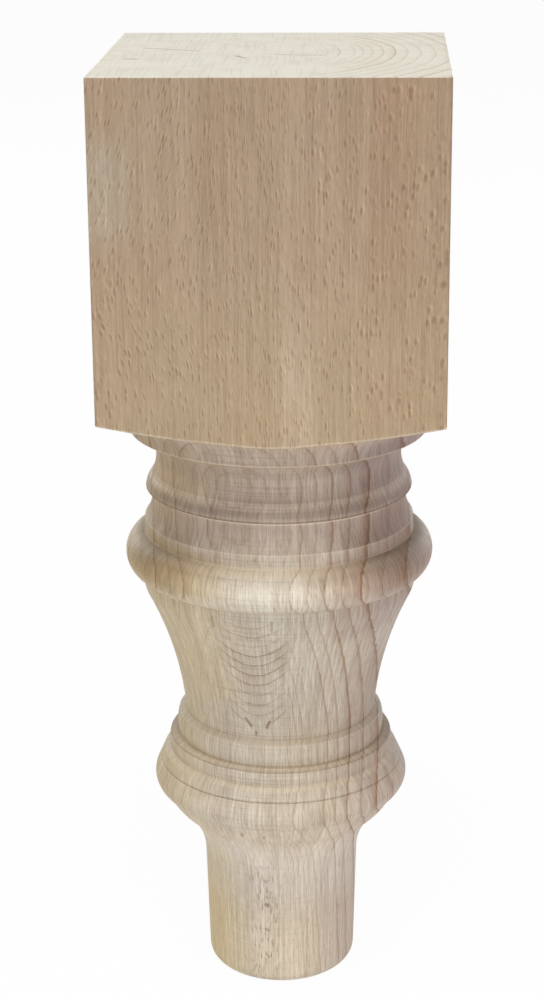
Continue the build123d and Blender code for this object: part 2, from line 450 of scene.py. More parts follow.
class Graph:
    """Short calls for building the node tree of one material or world."""

    def __init__(self, owner):
        owner.use_nodes = True
        self.tree = owner.node_tree
        self.tree.nodes.clear()

    def node(self, kind, **settings):
        made = self.tree.nodes.new("ShaderNode" + kind)
        for name, value in settings.items():
            setattr(made, name, value)
        return made

    def feed(self, socket, value):
        if value is None:
            return
        if isinstance(value, bpy.types.NodeSocket):
            self.tree.links.new(value, socket)
        else:
            socket.default_value = value

    def math(self, operation, a, b=None, clamp=False):
        made = self.node("Math", operation=operation, use_clamp=clamp)
        self.feed(made.inputs[0], a)
        self.feed(made.inputs[1], b)
        return made.outputs[0]

    def times(self, first, *others):
        """Product of two or more numbers."""
        for other in others:
            first = self.math("MULTIPLY", first, other)
        return first

    def plus(self, first, *others):
        """Sum of two or more numbers."""
        for other in others:
            first = self.math("ADD", first, other)
        return first

    def less(self, a, b, clamp=False):
        """The number a with b taken away."""
        return self.math("SUBTRACT", a, b, clamp)

    def length(self, a, b):
        """Length of the flat vector with the sides a and b."""
        return self.math("SQRT", self.plus(self.times(a, a), self.times(b, b)))

    def vector(self, operation, a, b=None, scale=None):
        made = self.node("VectorMath", operation=operation)
        self.feed(made.inputs[0], a)
        self.feed(made.inputs[1], b)
        if scale is not None:
            self.feed(made.inputs["Scale"], scale)
        return made.outputs["Value" if operation in ("LENGTH", "DOT_PRODUCT") else "Vector"]

    def combine(self, x, y, z):
        made = self.node("CombineXYZ")
        for socket, value in zip(made.inputs, (x, y, z)):
            self.feed(socket, value)
        return made.outputs[0]

    def split(self, vector):
        made = self.node("SeparateXYZ")
        self.feed(made.inputs[0], vector)
        return made.outputs

    def noise(self, place, kind, output="Fac"):
        """Soft noise at a place, of one of the kinds in NOISES."""
        stretch, detail, roughness = NOISES[kind]
        made = self.node("TexNoise")
        self.feed(made.inputs["Vector"], self.vector("MULTIPLY", place, stretch))
        made.inputs["Scale"].default_value = 1.0
        made.inputs["Detail"].default_value = detail
        made.inputs["Roughness"].default_value = roughness
        return made.outputs[output]

    def cells(self, place):
        """Distance to the nearest cell point, and a random number for each cell."""
        made = self.node("TexVoronoi", feature="F1")
        self.feed(made.inputs["Vector"], place)
        made.inputs["Scale"].default_value = 1.0
        return made.outputs["Distance"], self.split(made.outputs["Color"])[0]

    def span(self, value, low, high, to_low=0.0, to_high=1.0, smooth=True):
        """Value mapped from low..high to to_low..to_high, held at the ends."""
        made = self.node("MapRange", interpolation_type="SMOOTHSTEP" if smooth else "LINEAR", clamp=True)
        for name, number in (("Value", value), ("From Min", low), ("From Max", high),
                             ("To Min", to_low), ("To Max", to_high)):
            self.feed(made.inputs[name], number)
        return made.outputs[0]

    def within(self, value, limits):
        """Share from 0 at the first limit to 1 at the second and, with four limits, from 1 back to 0 again."""
        share = self.span(value, limits[0], limits[1])
        if len(limits) == 4:
            share = self.times(share, self.span(value, limits[3], limits[2]))
        return share

    def mix(self, share, a, b, blend="MIX"):
        made = self.node("Mix", data_type="RGBA", blend_type=blend)
        self.feed(made.inputs[0], share)
        self.feed(made.inputs[6], a)
        self.feed(made.inputs[7], b)
        return made.outputs[2]

    def mix_number(self, share, a, b):
        """Number that goes from a to b as share goes from 0 to 1."""
        made = self.node("Mix", data_type="FLOAT")
        self.feed(made.inputs[0], share)
        self.feed(made.inputs[2], a)
        self.feed(made.inputs[3], b)
        return made.outputs[0]

    def tint(self, share, colour, factor):
        """Colour multiplied by the factor's red, green and blue where share is 1."""
        return self.mix(share, colour, self.mix(1.0, colour, (*factor, 1.0), "MULTIPLY"))

    def lighten(self, share, colour, scale):
        """Colour made brighter by the scale where share is 1."""
        return self.mix(share, colour, self.vector("SCALE", colour, scale=scale))

    def shade(self, colour, share, depth):
        """Colour made darker and browner by up to depth where share is 1."""
        red, green, blue = SHADE_BALANCE
        loss = self.vector("SCALE", (depth * red, depth * green, depth * blue), scale=share)
        return self.vector("MULTIPLY", colour, self.vector("SUBTRACT", (1.0, 1.0, 1.0), loss))

    def stroke(self, place, start, end, half_width):
        """1 on a short straight mark from start to end, fading to 0 at half_width from it."""
        way = Vector((end[0] - start[0], end[1] - start[1], 0.0))
        offset = self.vector("SUBTRACT", place, (start[0], start[1], 0.0))
        along = self.vector("DOT_PRODUCT", offset, tuple(way / way.length_squared))
        along = self.math("MINIMUM", self.math("MAXIMUM", along, 0.0), 1.0)
        nearest = self.vector("SCALE", tuple(way), scale=along)
        away = self.vector("LENGTH", self.vector("SUBTRACT", offset, nearest))
        return self.span(away, half_width, half_width * STROKE_CORE)


def srgb(red, green, blue):
    """Linear colour from 0..255 screen values."""
    def linear(value):
        value = value / 255
        return value / 12.92 if value <= 0.04045 else ((value + 0.055) / 1.055) ** 2.4
    return (linear(red), linear(green), linear(blue), 1.0)


# Wood. A range of two limits runs from none at the first to all at the second, and one of four limits goes
# back to none. Ramps are (from, to, value at from, value at to). Turns are degrees round from the front.

# Where the sawn top, the planed sides, the front, the end grain and its upward side begin, and the broad tone.
# The end grain's upward side is painted lighter as lit, its downward side darker as shaded
TOP_CUT_HEIGHTS = (TOTAL_HEIGHT - 0.30, TOTAL_HEIGHT - 0.12)
PLANED_REACH = (BLOCK_HALF - 0.24, BLOCK_HALF - 0.12)
FRONT_Y = (6.0, -14.0)
END_GRAIN_SLOPE = (0.60, 0.97)
LIT_UPWARD_SLOPE = (0.0, 0.5)
BROAD_TONE = (0.36, 0.66)

# Pith as (x, y) at the foot and at the top, and the sway of its line
PITH_FOOT = (-3.0, -17.0)
PITH_TOP = (-10.0, 1.0)
PITH_SWAY = 2.6

# Rings: width near the pith, and fray of their lines. At the shoulder and at the top: how much longer than
# wide they are, how far out they stay narrow, and the growth of their width from there on
NARROW_RING = 1.25
RING_FRAY = 0.22
RING_OVAL = (1.9, 1.2)
NARROW_UNTIL = (13.0, 22.0)
RING_GROWTH = (0.115, 0.075)

# Tones of a ring: the weakest ring's strength, how late the ring darkens, and where the dark line lies in it
WEAKEST_RING = 0.12
LATE_CURVE = 2.2
RING_LINE = (0.80, 0.955, 0.975, 1.0)

# Cupped arcs on the vase: middle turn, rise for each square degree, height apart, reach to each side, heights
ARCS_TURN = -10.5
ARCS_RISE = 0.0166
ARCS_APART = 2.9
ARCS_REACH = (20.0, 12.0)
ARCS_HEIGHTS = (Z_VASE_WAIST + 2.0, Z_VASE_WAIST + 8.0, Z_VASE_TOP - 6.0, Z_VASE_TOP - 1.5)
ARCS_LINE_STRENGTH = 2.0
QUIETED_RINGS = (130.0, 104.0, 0.45, 0.9)

# Strength of the rings: everywhere, added on the right up to a turn, less on the foot, added high up on the
# right (x, heights, share), less on the left (turns, heights, share), on the planed sides and on the top
RINGS_STRENGTH = 0.62
RINGS_MORE_RIGHT = 0.60
RINGS_RIGHT_END = (112, 62)
RINGS_FOOT = (20.0, 50.0, 0.55, 1.0)
RINGS_UPPER_RIGHT = ((15.0, 25.0), (104.0, 110.0), 0.80)
RINGS_LEFT = ((-18, -34), (112.0, 106.0), 0.68)
RINGS_PLANED = 0.07
RINGS_TOP = (4.0, 22.0, 0.06, 0.80)

# Rays: number round the pith, height and length of a cell, and their sway and slant high up on the left
RAYS_ROUND = 68.0
RAY_HEIGHT = 2.6
RAY_LENGTH = 14.0
RAY_SWAY = 3.0
RAY_SLANT = -0.5
RAY_SLANT_X = (8.0, -22.0)
RAY_SLANT_HEIGHTS = (165.0, 205.0)
RAY_SLANT_LEVEL = 200.0

# Flecks of the rays: core of a cell, how rare they are, strength on the turning and on the planed sides.
# Beside the dark flecks a painted highlight sits a little shifted, as if they were sunk and lit from one side
FLECK_CORE = (0.50, 0.16)
FLECK_SOFTNESS = 0.30
DARK_RARITY = 0.44
DARK_STRENGTH = (0.50, 0.74)
FLECK_HIGHLIGHT_RARITY = 0.34
FLECK_HIGHLIGHT_SHIFT = (0.42, 0.16, 0.0)
FLECK_HIGHLIGHT_STRENGTH = 0.52
FLECK_HIGHLIGHT_MORE_PLANED = 0.35
FINE_RARITY = 0.30
FINE_SCALE = (2.0, 1.9, 2.0)
FINE_STRENGTH = (0.24, 0.16)

# Radius at which the grain keeps its own scale, and where a degree round measures half a millimetre
GRAIN_RADIUS = 28.65
DEGREE_LENGTH = 0.5

# Noises: cells to the millimetre along x, y and z, detail, roughness
NOISES = {
    "waver": ((0.05, 0.05, 0.010), 1.5, 0.5),
    "fray": ((0.9, 0.9, 0.12), 2.0, 0.5),
    "sway": ((0.12, 0.12, 0.05), 1.0, 0.5),
    "fibre": ((1.9, 1.9, 0.05), 3.0, 0.7),
    "hair": ((3.4, 3.4, 0.24), 2.0, 0.65),
    "streak": ((0.75, 0.75, 0.012), 3.0, 0.65),
    "band": ((0.16, 0.16, 0.010), 2.0, 0.5),
    "hue": ((0.07, 0.07, 0.03), 2.0, 0.5),
    "speck": ((3.2, 3.2, 1.6), 3.0, 0.65),
    "lathe": ((0.02, 0.02, 2.4), 2.0, 0.75),
    "torn": ((2.3, 2.3, 0.34), 2.0, 0.55),
    "upright": ((0.10, 0.10, 0.006), 1.5, 0.5),
    "crossing": ((1.5, 0.045, 3.0), 0.6, 0.5),
}

# Fine tones, each as the range of its noise and the depth of tone
STREAK_TONE = ((0.38, 0.66), 0.12)
FIBRE_TONE = ((0.36, 0.66), 0.22)
HAIR_TONE = ((0.38, 0.66), 0.22)
SPECK_TONE = ((0.54, 0.76), 0.10)
LATHE_TONE = ((0.50, 0.68), 0.15)
TORN_TONE = ((0.55, 0.63), 0.34)
CROSSING_TONE = ((0.54, 0.63), 0.080)
SHADE_BALANCE = (0.92, 1.05, 1.2)

# Where the fine tones show
FIBRES_PLANED = 0.66
FIBRES_TURNED = 0.82
LATHE_EVERYWHERE = 0.22
LATHE_X = (-17.0, -9.0, 0.0, 10.0)
LATHE_HEIGHTS = (42.0, 60.0, 0.12, 1.0)
TORN_REACH = (19.0, 6.0)
TORN_HEIGHTS = (38.0, 30.0, 0.15, 1.0)
CROSSING_X = (22.0, 2.0, 0.2, 1.0)

# Upright lines on the planed sides: lines to the millimetre, their sway, tones and where they show
UPRIGHT_APART = 0.36
UPRIGHT_SWAY = 3.2
UPRIGHT_TONE = 0.085
UPRIGHT_LINE = 0.75
UPRIGHT_X = (-22.0, 6.0, 0.35, 1.0)

# Planed sides: tones, colours lower down, of the patches of hue and on the right
PLANED_TONES = (srgb(169, 148, 124), srgb(163, 141, 116))
PLANED_LOW = ((215.0, 155.0), srgb(172, 151, 122))
PLANED_GREEN = ((0.56, 0.40, 0.0, 0.20), srgb(162, 149, 123))
PLANED_PINK = ((0.52, 0.66, 0.0, 0.22), srgb(172, 143, 118))
PLANED_RIGHT = ((10.0, 40.0), 0.5, srgb(163, 139, 111))

# Patches on the block's front: range of x, range of heights, share, colour
FRONT_PATCHES = (
    ((20.0, 24.0, 29.5, 33.0), (170.0, 205.0), 0.4, srgb(158, 126, 100)),
    ((0.0, 4.0, 8.5, 12.0), (195.0, 165.0), 0.4, srgb(196, 178, 154)),
    ((-28.0, -36.0), (194.0, 203.0, 216.0, 226.0), 0.5, srgb(178, 167, 150)),
)

# Turning: tones; painted light on its left and right, a warmer yellow on the left and a greyer pink on the
# right; and how these fade towards the back
TURNED_TONES = (srgb(204, 195, 180), srgb(192, 182, 165))
LEFT_TURN = (-22, -70)
LEFT_LIGHT_TINT = (0.8, srgb(208, 191, 154))
RIGHT_TURN = (12, 58)
RIGHT_LIGHT_TINT = (0.6, srgb(192, 177, 170))
BACK_FADE = (160, 75)

# Painted light and shade along the turning: darker and warmer under the block as painted shade, and lighter
# towards the foot, partly paler wood and partly painted light from below. Heights, colour factor
SHADE_UNDER_BLOCK_AND_LIGHT_AT_FOOT = (
    ((117.0, 127.0), (0.80, 0.73, 0.73)),
    ((60.0, 35.0), (1.20, 1.18, 1.14)),
)

# Paler bands round the turning: heights, share, colour. The one on the foot is a plain paler band; those on
# the lip and the large ring are painted highlights, and the one on the large ring stays on its front
FOOT_BAND = ((18.0, 30.0, 36.0, 45.0), 0.50, srgb(224, 219, 213))
LIP_HIGHLIGHT = ((132.5, 133.3, 134.2, 135.0), 0.30, srgb(232, 220, 202))
RING_HIGHLIGHT = ((108.5, 112.0, 114.5, 118.0), 0.45, srgb(236, 230, 214))
RING_HIGHLIGHT_REACH = (50, 22)

# Painted light and shade on the turning, patch by patch: highlights on the lip's top and on its left, shade
# under the lip, under the block and the rim, over the large ring's top and down the turning's right, and light
# and shade on the vase and the foot's left. Turns (from, to), heights (from, to), colour factor
LIGHT_AND_SHADE_PATCHES = (
    ((-75, 75), (133.3, 134.4), (1.16, 1.16, 1.20)),
    ((-75, 75), (131.3, 132.3), (0.84, 0.84, 0.86)),
    ((-75, -28), (132.6, 138.0), (1.16, 1.17, 1.10)),
    ((-75, -22), (138.0, 150.0), (0.88, 0.86, 0.79)),
    ((-28, 28), (140.5, 143.5), (0.86, 0.86, 0.86)),
    ((22, 55), (141.5, 147.5), (0.82, 0.83, 0.84)),
    ((32, 80), (134.8, 150.0), (0.80, 0.78, 0.80)),
    ((-72, -22), (111.5, 121.0), (0.80, 0.70, 0.54)),
    ((18, 80), (111.5, 120.5), (0.74, 0.63, 0.58)),
    ((42, 80), (120.5, 130.0), (0.84, 0.76, 0.74)),
    ((20, 75), (99.0, 112.0), (0.84, 0.80, 0.81)),
    ((-55, -18), (80.0, 111.0), (1.06, 1.02, 0.93)),
    ((-24, 22), (76.0, 112.0), (0.93, 0.94, 0.96)),
    ((50, 85), (52.0, 90.0), (0.88, 0.83, 0.79)),
    ((10, 45), (50.0, 76.0), (0.93, 0.91, 0.88)),
    ((-80, -28), (0.0, 36.0), (0.96, 0.94, 0.86)),
)
LIGHT_PATCH_TURN_FADE = 13
LIGHT_PATCH_HEIGHT_FADE = 2.5
LIGHT_PATCH_FADE_SHARE = 0.45

# Sawn top, and end grain on the treads and undersides of the turning, painted lighter on the treads as lit and
# darker on the undersides as shaded
TOP_TONES = (srgb(224, 220, 206), srgb(219, 213, 197))
END_GRAIN_SHADED_DOWN = srgb(184, 163, 134)
END_GRAIN_LIT_UP = srgb(217, 200, 174)
END_GRAIN_SHARE = 0.50

# Painted highlight along the line where the lathe has cut through the planed sides, at the block's lower edge.
# Its sag follows the cove inside the cone
CUT_EDGE_HEIGHTS = (0.55, 0.15)
CUT_EDGE_SAG = 0.076
CUT_EDGE_HIGHLIGHT = (0.6, srgb(214, 200, 178))

# Colours of the grain: darker wood late in a ring, the line at its end, flecks, the painted highlight beside
# flecks
LATE_FACTOR = srgb(222, 200, 180)
LATE_SHARE = 0.70
RING_LINE_FACTOR = (0.80, 0.78, 0.76, 1.0)
FLECK_FACTOR = (0.66, 0.59, 0.53)
FLECK_HIGHLIGHT_SCALE = 1.22
UPRIGHT_LINE_SCALE = 1.24

# Painted shade along the creases and under the rim and the lip, and painted highlights on the edges, as lines
# round the turning: height, half width, depth of tone
CREASE_SHADE_LINES = (
    (144.6, 0.40, 0.30),
    (134.1, 0.30, 0.28),
    (130.55, 0.42, 0.72),
    (108.3, 0.45, 0.26),
    (71.6, 0.40, 0.22),
    (65.0, 0.28, 0.60),
    (64.3, 0.24, 0.55),
    (57.4, 0.26, 0.40),
    (50.2, 0.50, 0.12),
)
EDGE_HIGHLIGHT_LINES = (
    (145.35, 0.35, 0.30),
    (129.75, 0.30, 0.34),
    (122.55, 0.30, 0.20),
    (119.3, 0.35, 0.26),
    (70.4, 0.30, 0.22),
)
LINE_CORE = 0.2
CREASE_SHADE_FACTOR = (0.52, 0.44, 0.36)
EDGE_HIGHLIGHT_COLOUR = srgb(228, 212, 188)

# Marks on the turning: start and end as (turn, height), half width, depth of tone
TURNED_MARKS = (
    ((-25.8, 103.4), (-25.8, 106.3), 0.42, 0.42),
    ((-0.7, 103.5), (-0.7, 106.3), 0.42, 0.42),
    ((-17.3, 76.8), (-14.6, 75.0), 0.60, 0.70),
    ((-3.6, 76.4), (-5.1, 74.8), 0.55, 0.70),
    ((-11.6, 73.2), (-11.6, 72.6), 0.55, 0.60),
    ((-10.4, 30.4), (-8.9, 29.9), 0.60, 0.34),
    ((-8.9, 29.9), (-7.2, 30.5), 0.60, 0.30),
    ((-9.6, 25.9), (-7.4, 25.5), 0.55, 0.34),
    ((-9.3, 23.5), (-7.4, 23.3), 0.80, 0.66),
    ((-9.4, 16.4), (-6.9, 16.0), 0.75, 0.46),
    ((-9.6, 9.4), (-7.4, 8.1), 0.50, 0.45),
    ((-7.4, 8.1), (-5.6, 9.0), 0.50, 0.40),
    ((-17.3, 47.3), (-17.3, 46.6), 0.55, 0.45),
    ((-6.0, 47.1), (-6.0, 46.5), 0.55, 0.45),
    ((-7.2, 121.5), (-7.2, 121.1), 0.45, 0.30),
    ((-1.1, 120.7), (-1.1, 120.2), 0.45, 0.30),
    ((-13.9, 133.2), (-13.9, 132.4), 0.60, 0.22),
)
TURNED_MARK_COLOUR = srgb(118, 88, 62)
STROKE_CORE = 0.25

# Marks on the top: start and end as (x, y), half width, depth of tone
TOP_MARKS = (
    ((-33.8, -10.2), (-31.8, -10.4), 0.75, 0.75),
    ((-32.0, 9.6), (-18.3, 3.9), 0.55, 0.60),
    ((-9.0, -5.2), (-6.7, -8.8), 0.65, 0.70),
    ((0.3, -2.6), (5.7, -3.5), 0.60, 0.45),
    ((5.7, -3.5), (10.8, -3.6), 0.60, 0.55),
)
TOP_MARK_COLOUR = srgb(132, 92, 74)

# Relief: how deep each thing is sunk, the depth of 1 in metres, and strength
FIBRE_DEPTH = 0.5
SUNK = {"flecks": 0.6, "line": 0.3, "hair": 0.35, "speck": 0.3, "marks": 2.0, "scars": 2.0, "cutter": 0.5}
RELIEF_DEPTH = 0.00018
RELIEF_STRENGTH = 0.65

# Gloss
ROUGHNESS = (0.3, 0.8, 0.52, 0.68)
SPECULAR = 0.35


def find_place(g):
    """Where a point of the wood lies, and the shares of the three kinds of surface there."""
    at = SimpleNamespace()
    at.place = g.vector("SCALE", g.node("TexCoord").outputs["Object"], scale=1 / MM)
    at.x, at.y, at.z = g.split(at.place)
    at.normal_up = g.split(g.node("NewGeometry").outputs["Normal"])[2]
    square = g.math("MAXIMUM", g.math("ABSOLUTE", at.x), g.math("ABSOLUTE", at.y))
    at.top_cut = g.within(at.z, TOP_CUT_HEIGHTS)
    at.planed = g.within(square, PLANED_REACH)
    at.planed = g.times(at.planed, g.less(1.0, at.top_cut))
    at.turned = g.less(g.less(1.0, at.planed), at.top_cut, clamp=True)
    at.end_grain = g.within(g.math("ABSOLUTE", at.normal_up), END_GRAIN_SLOPE)
    at.side_grain = g.less(1.0, at.end_grain)
    at.radius = g.length(at.x, at.y)
    at.around = g.math("ARCTAN2", at.x, g.times(at.y, -1.0))
    at.turn = g.times(at.around, 180 / math.pi)
    at.front = g.within(at.y, FRONT_Y)
    at.off_back = g.within(g.math("ABSOLUTE", at.turn), BACK_FADE)
    at.right_side = g.times(g.within(at.turn, RIGHT_TURN), at.off_back)
    at.left_side = g.times(g.within(at.turn, LEFT_TURN), at.off_back)
    return at


def ring_tones(g, count):
    """Tone that deepens across each ring and the dark line at its end, at a strength left to chance."""
    ring = g.math("FRACT", count)
    chance = g.node("TexWhiteNoise", noise_dimensions="1D")
    g.feed(chance.inputs["W"], g.math("FLOOR", count))
    strength = g.span(chance.outputs["Value"], 0.0, 1.0, WEAKEST_RING, 1.0, smooth=False)
    late = g.times(g.math("POWER", ring, LATE_CURVE), strength)
    return late, g.times(g.within(ring, RING_LINE), strength)


def find_rings(g, at):
    """Growth rings round a leaning pith, with cupped arcs where it runs close under the vase's surface."""
    waver = g.noise(at.place, "waver", output="Color")
    waver_x, waver_y, _ = g.split(g.vector("SUBTRACT", waver, (0.5, 0.5, 0.5)))
    oval = g.span(at.z, Z_SHOULDER, TOTAL_HEIGHT, *RING_OVAL)
    share_up = g.math("DIVIDE", at.z, TOTAL_HEIGHT)
    pith_x = g.span(share_up, 0.0, 1.0, PITH_FOOT[0], PITH_TOP[0], smooth=False)
    pith_y = g.span(share_up, 0.0, 1.0, PITH_FOOT[1], PITH_TOP[1], smooth=False)
    at.from_x = g.plus(g.less(at.x, pith_x), g.times(waver_x, PITH_SWAY))
    at.from_y = g.plus(g.less(at.y, pith_y), g.times(waver_y, PITH_SWAY))
    at.reach = g.length(at.from_x, g.math("DIVIDE", at.from_y, oval))

    # Narrow rings near the pith, wider ones further out
    until = g.span(at.z, Z_SHOULDER, TOTAL_HEIGHT, *NARROW_UNTIL)
    growth = g.span(at.z, Z_SHOULDER, TOTAL_HEIGHT, *RING_GROWTH)
    near = g.math("DIVIDE", g.math("MINIMUM", at.reach, until), NARROW_RING)
    beyond = g.math("MAXIMUM", g.less(at.reach, until), 0.0)
    grown = g.plus(1.0, g.times(beyond, growth))
    far = g.math("DIVIDE", g.math("LOGARITHM", grown, math.e), g.times(growth, NARROW_RING))
    fray = g.times(g.less(g.noise(at.place, "fray"), 0.5), RING_FRAY)
    late, line = ring_tones(g, g.plus(near, far, fray))

    # The arcs, in place of the rings
    at.off_arcs = g.less(at.turn, ARCS_TURN)
    rise = g.times(at.off_arcs, at.off_arcs, ARCS_RISE)
    arcs_count = g.math("DIVIDE", g.less(at.z, rise), ARCS_APART)
    arcs_late, arcs_line = ring_tones(g, g.plus(arcs_count, fray))
    middle = g.times(g.within(g.math("ABSOLUTE", at.off_arcs), ARCS_REACH), at.turned)
    arcs_here = g.times(middle, g.within(at.z, ARCS_HEIGHTS))
    quiet = g.less(1.0, g.times(middle, g.span(at.z, *QUIETED_RINGS)))
    at.late = g.mix_number(arcs_here, g.times(late, quiet), arcs_late)
    at.line = g.mix_number(arcs_here, g.times(line, quiet), g.times(arcs_line, ARCS_LINE_STRENGTH))


def ring_strength(g, at):
    """How strongly the rings show at a point."""
    strength = g.plus(RINGS_STRENGTH,
                      g.times(at.right_side, g.within(at.turn, RINGS_RIGHT_END), RINGS_MORE_RIGHT))
    strength = g.times(strength, g.span(at.z, *RINGS_FOOT))
    range_x, heights, more = RINGS_UPPER_RIGHT
    strength = g.plus(strength, g.times(g.within(at.x, range_x), g.within(at.z, heights), more))
    turns, heights, less = RINGS_LEFT
    faint = g.times(g.within(at.turn, turns), at.off_back, g.within(at.z, heights), less)
    strength = g.times(strength, g.less(1.0, faint))
    strength = g.mix_number(at.planed, strength, RINGS_PLANED)
    return g.mix_number(at.top_cut, strength, g.span(at.x, *RINGS_TOP))


def flecks_at(g, place, rarity):
    """1 in the middle of some of the cells and 0 between them. Fewer cells have one as rarity goes up."""
    far, chance = g.cells(place)
    return g.times(g.within(far, FLECK_CORE), g.within(chance, (rarity, rarity + FLECK_SOFTNESS)))


def find_flecks(g, at):
    """Rays: thin ribbons out from the pith, short along the grain, that show as dark flecks, with a painted
    highlight shifted beside them as if they were sunk.
    """
    about = g.math("ARCTAN2", at.from_x, g.times(at.from_y, -1.0))
    sway = g.times(g.less(g.noise(at.place, "sway"), 0.5), RAY_SWAY)
    slant = g.times(g.within(at.x, RAY_SLANT_X), g.within(at.z, RAY_SLANT_HEIGHTS), RAY_SLANT,
                    g.less(at.z, RAY_SLANT_LEVEL))
    ray_place = g.combine(g.plus(g.times(about, RAYS_ROUND), g.plus(sway, slant)),
                          g.math("DIVIDE", at.z, RAY_HEIGHT), g.math("DIVIDE", at.reach, RAY_LENGTH))
    dark = flecks_at(g, ray_place, DARK_RARITY)
    pale = flecks_at(g, g.vector("SUBTRACT", ray_place, FLECK_HIGHLIGHT_SHIFT), FLECK_HIGHLIGHT_RARITY)
    fine = flecks_at(g, g.vector("MULTIPLY", ray_place, FINE_SCALE), FINE_RARITY)
    at.pale_flecks = g.times(g.less(pale, dark, clamp=True), at.side_grain)
    both = g.plus(g.times(dark, g.mix_number(at.planed, *DARK_STRENGTH)),
                  g.times(fine, g.mix_number(at.planed, *FINE_STRENGTH)))
    at.flecks = g.times(both, at.side_grain)


def find_fibres(g, at):
    """Fibres along the grain, which on the turning follow the cutter along the outline, and tool marks."""
    spread = g.mix_number(at.turned, 1.0, g.math("DIVIDE", GRAIN_RADIUS, g.math("MAXIMUM", at.radius, 1.0)))
    grain = g.combine(g.times(at.x, spread), g.times(at.y, spread), at.z)
    at.fibre = g.noise(grain, "fibre")
    at.hair = g.noise(grain, "hair")
    at.streak = g.noise(grain, "streak")
    at.speck = g.noise(at.place, "speck")
    at.lathe = g.noise(at.place, "lathe")
    lathe_front = g.times(g.within(at.x, LATHE_X), at.front, at.turned, g.span(at.z, *LATHE_HEIGHTS))
    at.lathe_here = g.plus(g.times(at.turned, LATHE_EVERYWHERE), lathe_front)


def planed_colour(g, at, tone):
    """Colour of the planed sides before the grain."""
    colour = g.mix(tone, *PLANED_TONES)
    heights, low = PLANED_LOW
    colour = g.mix(g.within(at.z, heights), colour, low)
    hue = g.noise(at.place, "hue")
    for limits, patch in (PLANED_GREEN, PLANED_PINK):
        colour = g.mix(g.span(hue, *limits), colour, patch)
    range_x, share, right = PLANED_RIGHT
    return g.mix(g.times(g.within(at.x, range_x), share), colour, right)


def turned_colour(g, at, tone):
    """Colour of the turning before the grain, with painted light and shade by side, height and patch."""
    colour = g.mix(tone, *TURNED_TONES)
    # Painted light: the left and right of the turning tinted as the side lights colour them
    for side, (share, side_light) in ((at.left_side, LEFT_LIGHT_TINT), (at.right_side, RIGHT_LIGHT_TINT)):
        colour = g.mix(g.times(side, share), colour, side_light)
    # Painted shade under the block, and lighter towards the foot, partly painted light from below
    for heights, factor in SHADE_UNDER_BLOCK_AND_LIGHT_AT_FOOT:
        colour = g.tint(g.within(at.z, heights), colour, factor)
    # A paler band on the foot and a painted highlight on the lip
    for heights, share, pale in (FOOT_BAND, LIP_HIGHLIGHT):
        colour = g.mix(g.times(g.within(at.z, heights), share), colour, pale)
    # Painted highlight on the front of the large ring
    heights, share, pale = RING_HIGHLIGHT
    ring_highlight_here = g.times(g.within(at.z, heights), g.within(g.math("ABSOLUTE", at.turn), RING_HIGHLIGHT_REACH))
    colour = g.mix(g.times(ring_highlight_here, share), colour, pale)
    # Painted light and shade, patch by patch
    for (turn_from, turn_to), (low, high), factor in LIGHT_AND_SHADE_PATCHES:
        side, rise = LIGHT_PATCH_TURN_FADE, min(LIGHT_PATCH_HEIGHT_FADE, (high - low) * LIGHT_PATCH_FADE_SHARE)
        here = g.times(g.within(at.turn, (turn_from - side, turn_from + side, turn_to - side, turn_to + side)),
                       g.within(at.z, (low - rise, low + rise, high - rise, high + rise)))
        colour = g.tint(here, colour, factor)
    return colour


def cut_edge_highlight(g, at):
    """1 on the planed sides along the line where the lathe has cut through them, where a highlight is painted.
    """
    past = g.less(at.radius, RIM_RADIUS + SHOULDER_COVE_REACH)
    short = g.math("MINIMUM", past, 0.0)
    edge = g.plus(Z_SHOULDER, g.times(past, math.tan(SHOULDER_SLOPE)))
    edge = g.less(edge, g.times(short, short, CUT_EDGE_SAG))
    return g.times(g.within(g.less(at.z, edge), CUT_EDGE_HEIGHTS), at.planed)


def ground_colour(g, at):
    """Colour of the wood before the grain: planed sides, turning with its painted light and shade, end grain
    painted lighter facing up, sawn top and the painted highlight on the cut edge.
    """
    tone = g.within(g.noise(at.place, "band"), BROAD_TONE)
    colour = g.mix(at.planed, turned_colour(g, at, tone), planed_colour(g, at, tone))
    colour = g.mix(at.top_cut, colour, g.mix(tone, *TOP_TONES))
    # Painted light and shade: end grain lighter where it faces up, darker where it faces down
    end_grain_lit_and_shaded = g.mix(g.within(at.normal_up, LIT_UPWARD_SLOPE), END_GRAIN_SHADED_DOWN, END_GRAIN_LIT_UP)
    colour = g.mix(g.times(at.end_grain, at.turned, END_GRAIN_SHARE), colour, end_grain_lit_and_shaded)
    on_front = g.times(at.planed, at.front)
    for range_x, heights, share, patch in FRONT_PATCHES:
        here = g.times(g.within(at.x, range_x), g.within(at.z, heights), on_front)
        colour = g.mix(g.times(here, share), colour, patch)
    # Painted highlight along the block's lower edge
    share, pale = CUT_EDGE_HIGHLIGHT
    return g.mix(g.times(cut_edge_highlight(g, at), share), colour, pale)


